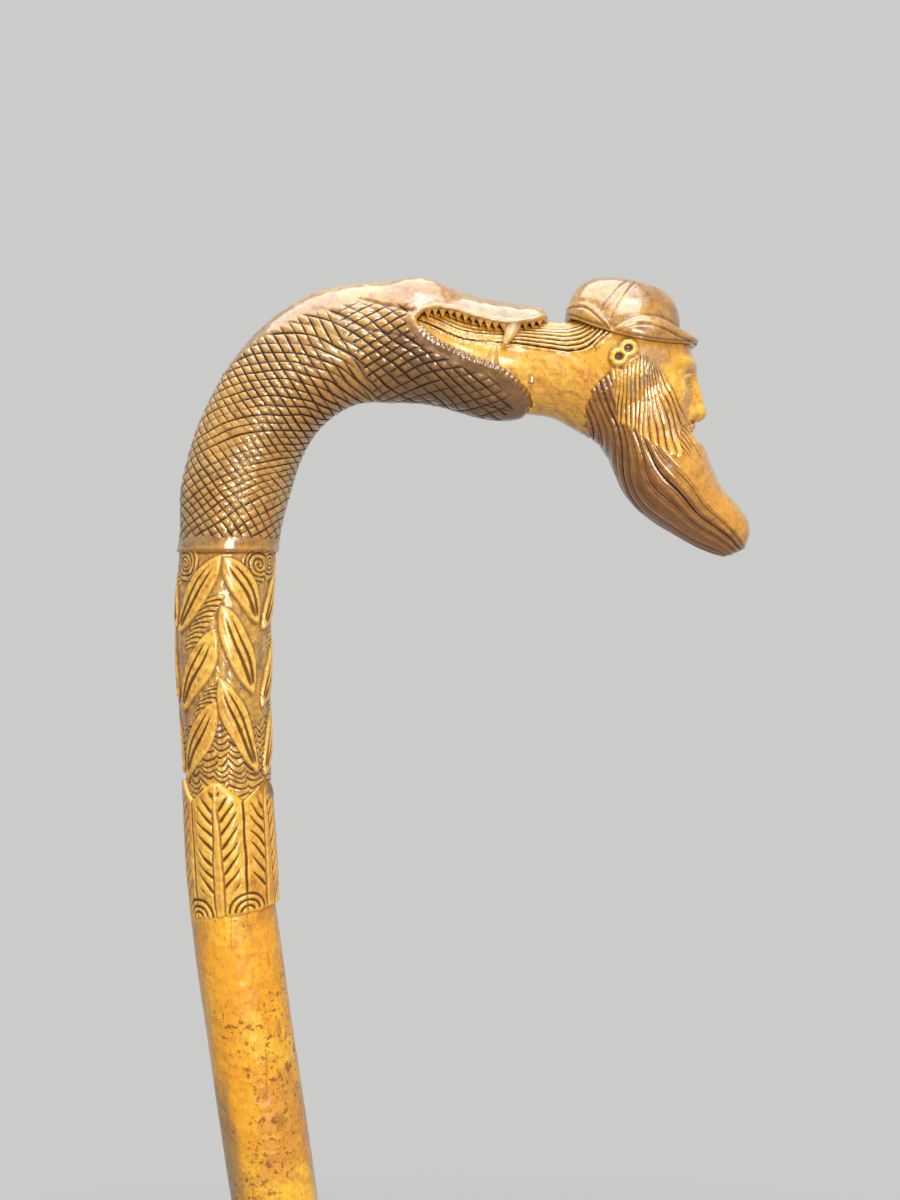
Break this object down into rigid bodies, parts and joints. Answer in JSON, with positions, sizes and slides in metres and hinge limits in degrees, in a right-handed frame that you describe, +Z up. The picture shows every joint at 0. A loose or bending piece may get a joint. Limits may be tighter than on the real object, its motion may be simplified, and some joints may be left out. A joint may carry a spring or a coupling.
{
  "type": "carved walking stick",
  "caption": "Wooden walking stick with a crook carved as an open-mouthed serpent that holds a bearded, capped head, above leaf carving, a natural shaft and a metal-shod foot.",
  "frame": {"origin": "middle of the steel foot's flat underside, on the ground", "axes": "+Z up the stick, +X the way the carved head looks, -Y the side that the picture shows"},
  "size_m": [0.1633, 0.0346, 0.9008],
  "materials": {
    "serpent_wood": "glossy",
    "head_wood": "glossy",
    "cap_wood": "glossy",
    "tooth_wood": "glossy",
    "peg_wood": "satin",
    "leaf_wood": "glossy",
    "band_wood": "glossy",
    "shaft_wood": "satin",
    "dowel_wood": "matt",
    "stud_steel": "satin",
    "brass": "satin",
    "foot_steel": "satin"
  },
  "bodies": {
    "root": {"plain_shaft": "shaft_wood", "leaf_band": "band_wood", "leaf_sleeve": "leaf_wood", "serpent_handle": "serpent_wood", "bearded_head": "head_wood", "cap": "cap_wood", "upper_teeth_left": "tooth_wood", "upper_teeth_right": "tooth_wood", "upper_fang_left": "tooth_wood", "upper_fang_right": "tooth_wood", "lower_fang_left": "tooth_wood", "lower_fang_right": "tooth_wood", "neck_peg": "peg_wood", "neck_dowel": "dowel_wood", "handle_stud": "stud_steel", "ferrule": "brass", "ferrule_brads": "brass", "steel_foot": "foot_steel"}
  },
  "joints": []
}
